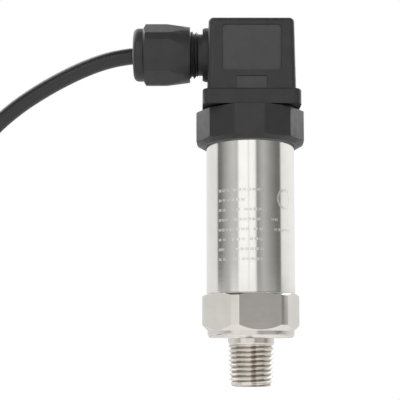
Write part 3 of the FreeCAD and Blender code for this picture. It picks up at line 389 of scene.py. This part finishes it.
def add_mesh(name, points, faces, finish, body, slot=None, crease=32):
    """A mesh piece whose edges sharper than the crease stay sharp."""
    mesh = mesh_of(name, points, faces)
    mesh.validate()
    piece = link(name, mesh)
    settle(piece, finish, body, slot, crease)
    return piece


def opened(piece, merge=FRAME_MERGE):
    """The piece's mesh as a form to edit, its doubled corners merged."""
    form = bmesh.new()
    form.from_mesh(piece.data)
    bmesh.ops.remove_doubles(form, verts=form.verts, dist=merge)
    return form


def close(form, piece):
    form.to_mesh(piece.data)
    form.free()


def settle(piece, finish, body, slot=None, crease=32):
    """Merges the mesh, smooths it, gives it its finish and lets it ride."""
    form = opened(piece, NEW_MERGE)
    bmesh.ops.recalc_face_normals(form, faces=form.faces)
    close(form, piece)
    piece.data.shade_smooth()
    piece.data.set_sharp_from_angle(angle=math.radians(crease))
    piece.data.materials.clear()
    piece.data.materials.append(FINISHES[finish])
    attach(piece, body)
    slot or finish


def about_axis(radius, angle, height):
    """A point about the main axis; the angle turns from the viewer's side to the right."""
    return (radius * math.sin(angle), -radius * math.cos(angle), height)


def grid_faces(rings, columns, joined=False):
    """Faces between rings of points; a joined grid's last ring meets its first."""
    faces = []
    for ring in range(rings if joined else rings - 1):
        near = ring * columns
        far = (ring + 1) % rings * columns
        for column in range(columns):
            after = (column + 1) % columns
            faces.append((near + column, near + after, far + after, far + column))
    return faces


def turned(profile, segments, across=0.0):
    """Points and faces of a closed profile of radius and height, turned about an upright axis."""
    points = []
    for step in range(segments):
        for radius, height in profile:
            x, y, z = about_axis(radius, 2 * math.pi * step / segments, height)
            points.append((x + across, y, z))
    return points, grid_faces(segments, len(profile), joined=True)


def rounded(half_x, low, high, corner, steps, wall=0.0):
    """A rectangle with round corners, made larger by a wall."""
    outline = []
    for x, y, begin in ((half_x - corner, high - corner, 0), (corner - half_x, high - corner, 90),
                        (corner - half_x, low + corner, 180), (half_x - corner, low + corner, 270)):
        for step in range(steps + 1):
            turn = math.radians(begin + 90 * step / steps)
            outline.append((x + (corner + wall) * math.cos(turn),
                            y + (corner + wall) * math.sin(turn)))
    return outline


def copied(node, name):
    """A piece with a copy of a node's mesh, without the mesh's stored normals."""
    mesh = nodes[node].data.copy()
    if "custom_normal" in mesh.attributes:
        mesh.attributes.remove(mesh.attributes["custom_normal"])
    return link(name, mesh)


def softened(node, name, body, width, angle=25.0, segments=2):
    """A copy of a node with its sharp edges slightly rounded; it stands for the node."""
    piece = copied(node, name)
    form = opened(piece)
    bmesh.ops.dissolve_limit(form, angle_limit=math.radians(FLAT_ANGLE), verts=form.verts,
                             edges=form.edges)
    sharp = [edge for edge in form.edges
             if len(edge.link_faces) == 2 and edge.calc_face_angle(0) > math.radians(angle)]
    bmesh.ops.bevel(form, geom=sharp, offset=width * MM, segments=segments, affect="EDGES",
                    clamp_overlap=True, profile=0.5)
    close(form, piece)
    settle(piece, SLOT_OF[node], body, crease=angle)
    even = piece.modifiers.new("even", "WEIGHTED_NORMAL")
    even.keep_sharp = True
    even.weight = 100
    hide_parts(node)
    return piece


def loosen(node, name, body, share):
    """A slightly smaller copy of a hidden node, so that a turning neighbour clears it."""
    piece = copied(node, name)
    corners = [vertex.co for vertex in piece.data.vertices]
    middle = Vector([(min(co[axis] for co in corners) + max(co[axis] for co in corners)) / 2
                     for axis in range(3)])
    for vertex in piece.data.vertices:
        vertex.co = middle + (vertex.co - middle) * share
    settle(piece, SLOT_OF[node], body, crease=30)
    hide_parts(node)


# Steel port: the frame's own hexagon and collar, with a cut thread below them.
THREAD_BAND = 1.3
BAND_RADIUS = 6.1
THREAD_BEVEL = 0.45
THREAD_COLUMNS = 96
THREAD_ROW = 0.07
INLET_RADIUS = 1.75
SEAT_STEP = 0.2  # how much wider the bore of the thread's mesh is at its top
PLANE_SLACK = 0.01
CREST_FLAT = 0.1  # share of the wave that is flat at the crest, and again at the root
RUN_OUT = 0.6  # turns over which the groove fades out at the thread's top
NO_BAND = (0.0, 9.0)
THREAD_CREASE = 60
PORT_CREASE = 12


def clamped(value):
    return min(max(value, 0.0), 1.0)


def thread_radius(angle, height, top, end, pitch, depth, crests, bevel, band=NO_BAND):
    """Radius of a tapered V thread with slightly flat crests and roots, and a plain end band."""
    along = (top - height) / (top - end)
    crest = crests[0] + (crests[1] - crests[0]) * along
    phase = (height / pitch - angle / (2 * math.pi)) % 1.0
    wave = abs(2 * phase - 1)
    cut = clamped((wave - CREST_FLAT) / (1 - 2 * CREST_FLAT)) * depth
    fade = clamped((top - height) / (RUN_OUT * pitch))
    rise = height - end
    radius = min(crest - cut * fade, band[1] + max(rise - band[0], 0.0))
    if rise < bevel:
        radius = min(radius, min(crest, band[1]) - bevel + rise)
    return radius


def thread_grid(top, end, columns, row_step, bores, **shape):
    """Points and faces of a threaded sleeve between two heights, with its bores at end and top."""
    rows = round((top - end) / row_step)
    rings = [(bores[0], end)]
    rings += [(None, end + (top - end) * row / rows) for row in range(rows + 1)]
    rings += [(bores[1], top)]
    points = []
    for bore, height in rings:
        for column in range(columns):
            angle = 2 * math.pi * column / columns
            radius = bore or thread_radius(angle, height, top, end, **shape)
            points.append(about_axis(radius, angle, height))
    return points, grid_faces(len(rings), columns)


def add_port():
    piece = copied("pressure_port", "port_body")
    form = opened(piece)
    level = (THREAD_TOP + PLANE_SLACK) * MM
    low = [face for face in form.faces if all(vertex.co.z < level for vertex in face.verts)]
    bmesh.ops.delete(form, geom=low, context="FACES")
    close(form, piece)
    settle(piece, "port_steel", "root", "turned_steel", PORT_CREASE)
    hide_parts("pressure_port")
    points, faces = thread_grid(
        THREAD_TOP, THREAD_END, THREAD_COLUMNS, THREAD_ROW,
        (INLET_RADIUS, INLET_RADIUS + SEAT_STEP), pitch=THREAD_PITCH, depth=THREAD_DEPTH,
        crests=(CREST_TOP, CREST_END), bevel=THREAD_BEVEL, band=(THREAD_BAND, BAND_RADIUS))
    add_mesh("port_thread", points, faces, "thread_steel_painted_shade", "root", "turned_steel", THREAD_CREASE)


# Body tube.
TUBE_EDGE = 0.15
TUBE_SEGMENTS = 192


def add_tube():
    points, faces = turned([
        (TUBE_BORE, TUBE_FOOT), (TUBE_RADIUS - TUBE_EDGE, TUBE_FOOT),
        (TUBE_RADIUS, TUBE_FOOT + TUBE_EDGE), (TUBE_RADIUS, TUBE_TOP - TUBE_EDGE),
        (TUBE_RADIUS - TUBE_EDGE, TUBE_TOP), (TUBE_BORE, TUBE_TOP),
    ], TUBE_SEGMENTS)
    piece = add_mesh("tube_shell", points, faces, "polished_steel", "root")
    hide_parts("body_tube")


# Laser-etched field on the tube: rows of plain dashes, given in degrees, and a plain ring.
ETCH_TOP = 43.6
ETCH_PITCH = 2.93
ETCH_HEIGHT = 0.8
ETCH_LINES = [
    [(-47, -29), (-25, 18)],
    [(-47, -8)],
    [(-47, -33), (-27, -15), (-11, 19)],
    [(-47, -31), (-24, 11), (24, 34)],
    [(-47, -25), (-21, -3), (1, 15), (28, 60)],
    [(-47, -33), (-27, -8), (-4, 14)],
    [(-47, -38), (-22, 15)],
    [(-47, -33), (-25, -18), (-14, 14)],
]
DASH = 4.6
DASH_GAP = 1.4
ETCH_LIFT = 0.012
MARK_ANGLE = 46.0
MARK_HEIGHT = 41.2
MARK_RADIUS = 3.15
MARK_WIDTH = 0.8
MARK_SEGMENTS = 48


def on_tube(angle, height):
    """A point just above the tube's surface, at an angle in degrees from the viewer's side."""
    return about_axis(TUBE_RADIUS + ETCH_LIFT, math.radians(angle), height)


def add_etching():
    points = []
    faces = []
    for line, bars in enumerate(ETCH_LINES):
        middle = ETCH_TOP - ETCH_PITCH * line
        for begin, end in bars:
            count = max(round((end - begin) / (DASH + DASH_GAP)), 1)
            for dash in range(count):
                left = begin + (end - begin) * dash / count
                corner = len(points)
                for angle in (left, left + DASH):
                    points.append(on_tube(angle, middle - ETCH_HEIGHT / 2))
                    points.append(on_tube(angle, middle + ETCH_HEIGHT / 2))
                faces.append((corner, corner + 2, corner + 3, corner + 1))
    first = len(points)
    for step in range(MARK_SEGMENTS):
        turn = 2 * math.pi * step / MARK_SEGMENTS
        for radius in (MARK_RADIUS, MARK_RADIUS - MARK_WIDTH):
            across = math.degrees(radius * math.cos(turn) / TUBE_RADIUS)
            points.append(on_tube(MARK_ANGLE + across, MARK_HEIGHT + radius * math.sin(turn)))
    for step in range(MARK_SEGMENTS):
        corner = first + 2 * step
        after = first + 2 * ((step + 1) % MARK_SEGMENTS)
        faces.append((corner, after, after + 1, corner + 1))
    add_mesh("etched_field", points, faces, "etched_steel", "root", "polished_steel")


# Outlet's thread: its deep part shows between ring and nut, the rest is hidden inside the nut.
# Each part's name, top, end, row height, depth, crest radius and bevel.
OUTLET_BORE = OUTLET_RADIUS - 0.1
OUTLET_THREAD_END = 16.0
OUTLET_COLUMNS = 72
OUTLET_THREADS = [
    ("outlet_thread", NUT_START, OUTLET_THREAD_END, 0.08, 0.8, 7.25, 0.85),
    ("outlet_thread_inner", OUTLET_END, NUT_START, 0.1, 0.22, OUTLET_RADIUS + 0.24, 0.2),
]


def on_gland(point):
    """Turns a piece that was made about Z, so that it lies about the gland's axis."""
    across, depth, height = point
    return (-height, depth, GLAND_HEIGHT + across)


def add_outlet_thread():
    for name, top, end, row_step, depth, crest, bevel in OUTLET_THREADS:
        points, faces = thread_grid(
            top, end, OUTLET_COLUMNS, row_step, (OUTLET_BORE, OUTLET_BORE),
            pitch=THREAD_PITCH, depth=depth, crests=(crest, crest), bevel=bevel)
        add_mesh(name, [on_gland(point) for point in points], faces, "black_nylon", "plug",
                 crease=THREAD_CREASE)


# Bare plates in the recesses of the plug's front: width, foot, top, corner and front face.
PLATES = [
    ("label_plate", 17.65, 79.7, 93.7, 1.25, -12.74),
    ("date_plate", 9.2, 73.9, 77.9, 0.3, -12.98),
]
PLATE_GAP = 0.05
PLATE_THICKNESS = 0.12


def add_plates():
    """Flat bare plates with round corners, facing the viewer."""
    for name, width, low, high, corner, front in PLATES:
        outline = rounded(width / 2 - PLATE_GAP, low + PLATE_GAP, high - PLATE_GAP, corner, 6)
        count = len(outline)
        points = [(across, front, up) for across, up in outline]
        points += [(across, front + PLATE_THICKNESS, up) for across, up in outline]
        faces = [tuple(range(count)), tuple(range(2 * count - 1, count - 1, -1))]
        faces += grid_faces(2, count)
        add_mesh(name, points, faces, "bare_plate", "plug", "black_nylon")


# Tie round the hank.
TIE_WIDTH = 6.0
TIE_WALL = 1.0
TIE_CORNER = 3.0
TIE_EDGE = 0.25


def add_tie():
    """A flat strap round the waist."""
    deep = HANK_THICKNESS / 2
    inner, outer = (rounded(HANK_WAIST / 2, -deep, deep, TIE_CORNER, 8, wall)
                    for wall in (0.0, TIE_WALL))
    half = TIE_WIDTH / 2
    section = [(inner, -half), (outer, -half + TIE_EDGE), (outer, half - TIE_EDGE), (inner, half)]
    points = []
    for loop, rise in section:
        points += [(HANK_X + across, depth, HANK_MIDDLE + rise) for across, depth in loop]
    faces = grid_faces(len(section), len(inner), joined=True)
    piece = add_mesh("tie_strap", points, faces, "tie_plastic", "plug")
    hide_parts("hank_tie")


# Stripped cores with ferrules at the free end: radius, and depth below the hank's foot.
CORE_SLOTS = ["brown_insulation", "blue_insulation", "black_insulation"]
CORE_PITCH = 2.4
CORE_PROFILE = [(0.0, -2.0), (0.75, -2.0), (0.75, 12.4), (0.97, 13.0), (0.87, 15.4), (0.0, 15.4)]
FERRULE_PROFILE = [(0.0, 14.4), (0.62, 14.4), (0.62, 21.7), (0.4, 22.0), (0.0, 22.0)]
CORE_SEGMENTS = 24


def add_core_part(name, profile, finish, across):
    drawn = [(radius, HANK_FOOT - depth) for radius, depth in profile]
    return add_mesh(name, *turned(drawn, CORE_SEGMENTS, across), finish, "plug")


def add_free_end():
    """Three cores with crimped ferrules, below the hank."""
    for number, slot in enumerate(CORE_SLOTS, 1):
        across = HANK_X + CORE_PITCH * (number - 2)
        core = add_core_part(f"free_core_{number}", CORE_PROFILE, slot, across)
        ferrule = add_core_part(f"ferrule_{number}", FERRULE_PROFILE, "tinned_brass", across)
        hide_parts(f"end_core_{number}")
        yield core
        yield ferrule


# Studio: a pale floor that fades into white, and surroundings that only shiny surfaces show.
FLOOR_HEIGHT = -86.0
FLOOR_RADIUS = 950.0
FLOOR_SHIFT = -40.0
FLOOR_GLOW = (450.0, 855.0)  # from where to where it turns from paper into white
FLOOR_SEGMENTS = 96
# Tone of the surroundings by azimuth in degrees, from the viewer's side to the right.
BANDS = [
    (-180, 0.88), (-104, 0.84), (-99, 0.78), (-96, 0.24), (-92, 0.16), (-85, 0.19), (-76, 0.32),
    (-66, 0.44), (-55, 0.55), (-46, 0.6), (-36, 0.53), (-32, 1.1), (-11, 1.13), (-9, 1.1),
    (-7.3, 0.62), (-5.6, 1.1), (5, 1.08), (9, 0.98), (11, 0.9), (13, 0.34), (16, 0.28),
    (23, 0.43), (31, 0.5), (39, 0.43), (47, 0.34), (66, 0.19), (80, 0.16), (84, 0.85),
    (95, 0.9), (130, 0.96), (180, 0.88),
]
# The same for a low belt, which only the hexagon and the collar mirror, and where it lies.
BELT = [
    (-180, 0.8), (-104, 0.84), (-92, 0.8), (-60, 0.5), (-53, 0.9), (-48, 1.0), (-32, 0.97),
    (-28, 0.9), (10, 0.9), (16, 0.5), (18, 0.46), (26, 0.44), (34, 0.5), (60, 0.5), (70, 0.33),
    (78, 0.3), (86, 0.45), (95, 0.6), (110, 0.75), (130, 0.8), (180, 0.8),
]
BELT_TOP = (0.046, 0.054)
BELT_FOOT = (-0.2, -0.15)
# Strength of the surroundings by the height of a direction.
HEIGHTS = [(-1, 1.0), (0.2, 1.0), (0.3, 1.12), (0.4, 1.0), (0.7, 0.3), (1, 0.3)]


def add_floor():
    points = [(0, 0, FLOOR_HEIGHT)]
    for step in range(FLOOR_SEGMENTS):
        turn = 2 * math.pi * step / FLOOR_SEGMENTS
        points.append((FLOOR_RADIUS * math.cos(turn) + FLOOR_SHIFT,
                       FLOOR_RADIUS * math.sin(turn), FLOOR_HEIGHT))
    faces = [(0, step + 1, (step + 1) % FLOOR_SEGMENTS + 1) for step in range(FLOOR_SEGMENTS)]
    mesh = mesh_of("floor", points, faces)
    finish = Finish("floor_paper", roughness=0.9)
    finish.colours(finish.noise(0.02, 2), (0.52, 0.52, 0.52), (0.56, 0.56, 0.56))
    away = finish.node("VectorMath", finish.place, operation="LENGTH")
    glow = finish.spread(away.outputs["Value"], 0.0, 1.0, FLOOR_GLOW[0] * MM, FLOOR_GLOW[1] * MM)
    finish.shader.inputs["Emission Color"].default_value = (1, 1, 1, 1)
    finish.join(glow, "Emission Strength")
    mesh.materials.append(finish.material)
    link("floor", mesh)


def add_world():
    """White to the camera; to shiny surfaces a studio with bright, grey and dark bands."""
    world = bpy.data.worlds.new("studio")
    bpy.context.scene.world = world
    world.use_nodes = True
    tree = world.node_tree
    tree.nodes.clear()

    def ramp(factor, points, low, high):
        """Grey levels given at places from low to high."""
        span = add_node(tree, "MapRange", factor, settings={"From Min": low, "From Max": high})
        graded = add_node(tree, "ValToRGB", span.outputs["Result"])
        elements = graded.color_ramp.elements
        elements.remove(elements[1])
        for number, (place, level) in enumerate(points):
            position = (place - low) / (high - low)
            element = elements[0] if number == 0 else elements.new(position)
            element.position = position
            element.color = (level, level, level, 1)
        return graded.outputs["Color"]

    place = add_node(tree, "TexCoord")
    parts = add_node(tree, "SeparateXYZ", place.outputs["Generated"])
    ahead = add_node(tree, "Math", parts.outputs["Y"], operation="MULTIPLY", settings={1: -1})
    turn = add_node(tree, "Math", parts.outputs["X"], ahead.outputs[0], operation="ARCTAN2")
    azimuth = add_node(tree, "Math", turn.outputs[0], operation="DEGREES").outputs[0]
    height = parts.outputs["Z"]
    over = add_node(tree, "MapRange", height, settings={
        "From Min": BELT_TOP[0], "From Max": BELT_TOP[1]})
    under = add_node(tree, "MapRange", height, settings={
        "From Min": BELT_FOOT[0], "From Max": BELT_FOOT[1], "To Min": 1.0, "To Max": 0.0})
    outside = add_node(tree, "Math", over.outputs["Result"], under.outputs["Result"],
                       operation="MAXIMUM")
    tones = add_node(tree, "MixRGB", outside.outputs[0], ramp(azimuth, BELT, -180, 180),
                     ramp(azimuth, BANDS, -180, 180))
    bands = add_node(tree, "Background", tones.outputs["Color"], ramp(height, HEIGHTS, -1, 1))
    plain = add_node(tree, "Background", settings={"Color": (0.5, 0.5, 0.5, 1)})
    white = add_node(tree, "Background", settings={"Color": (1, 1, 1, 1)})
    path = add_node(tree, "LightPath")
    shiny = add_node(tree, "MixShader", path.outputs["Is Glossy Ray"], plain.outputs[0],
                     bands.outputs[0])
    seen = add_node(tree, "MixShader", path.outputs["Is Camera Ray"], shiny.outputs[0],
                    white.outputs[0])
    add_node(tree, "OutputWorld", seen.outputs[0])


# Lamps: place, side and power. Only the edge lamps are mirrored, so they stay high and large.
LAMPS = [
    ("key", (-160, -330, 330), 200, 2.6),
    ("fill", (300, -220, 160), 200, 0.8),
    ("edge_right", (220, 230, 334), 420, 1.35),
    ("edge_left", (-273, 170, 334), 420, 1.2),
]
LAMP_AIM = Vector((0, 0, 45)) * MM


def add_lamps():
    for name, place, side, power in LAMPS:
        data = bpy.data.lights.new(name, "AREA")
        data.shape = "SQUARE"
        data.size = side * MM
        data.energy = power
        lamp = link(name, data)
        lamp.location = Vector(place) * MM
        lamp.rotation_euler = (LAMP_AIM - lamp.location).to_track_quat("-Z", "Y").to_euler()
        lamp.visible_glossy = name.startswith("edge")


# The build itself.
RING_EDGE = 0.25
NUT_EDGE = 0.2
WASHER_SHARE = 0.985

add_camera()
cable_sheath = add_cable()
dress_frame()
add_port()
add_tube()
add_etching()
softened("clamp_ring", "ring_shell", "root", RING_EDGE)
softened("gland_nut", "nut_shell", "gland_cap", NUT_EDGE)
loosen("gland_washer", "thrust_washer", "gland_ring", WASHER_SHARE)
add_outlet_thread()
add_plates()
add_tie()
free_end = list(add_free_end())
add_floor()
add_world()
add_lamps()
bpy.context.scene.view_settings.view_transform = "Standard"

bpy.context.view_layer.update()
